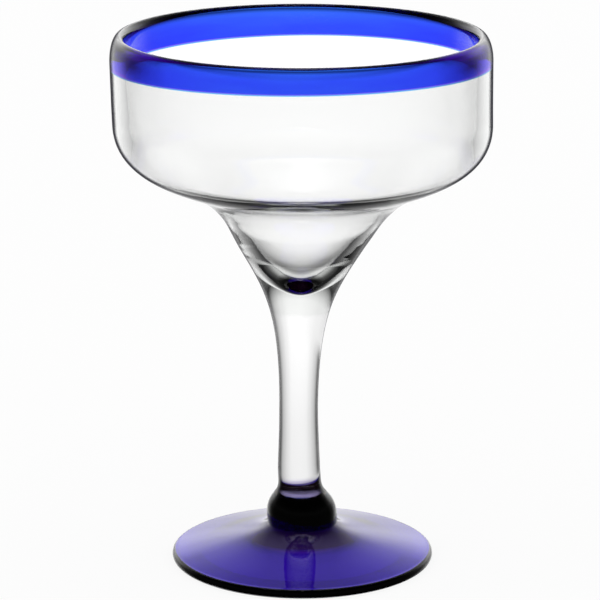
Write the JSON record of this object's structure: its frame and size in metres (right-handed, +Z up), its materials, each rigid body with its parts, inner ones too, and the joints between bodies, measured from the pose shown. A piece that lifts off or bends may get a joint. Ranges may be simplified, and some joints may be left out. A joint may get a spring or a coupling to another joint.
{
  "type": "margarita glass",
  "caption": "Stemmed margarita glass with a wide cup over a solid-walled funnel, cobalt lip band, clear stem, cobalt knop and domed foot.",
  "frame": {"origin": "centre of the foot on the surface that the glass stands on", "axes": "+Z up along the axis of the stem and bowl; X and Y are any two directions across, as the glass is round"},
  "size_m": [0.12, 0.12, 0.1718],
  "materials": {
    "foot_glass": "fire-polished cobalt glass, clear through",
    "knop_glass": "fire-polished cobalt glass, thick and near black",
    "band_glass": "fire-polished cobalt glass, thin and bright",
    "clear_glass": "fire-polished clear glass"
  },
  "bodies": {
    "root": {"foot": "foot_glass", "knop": "knop_glass", "stem": "clear_glass", "bowl": "clear_glass", "rim_band": "band_glass"}
  },
  "joints": []
}
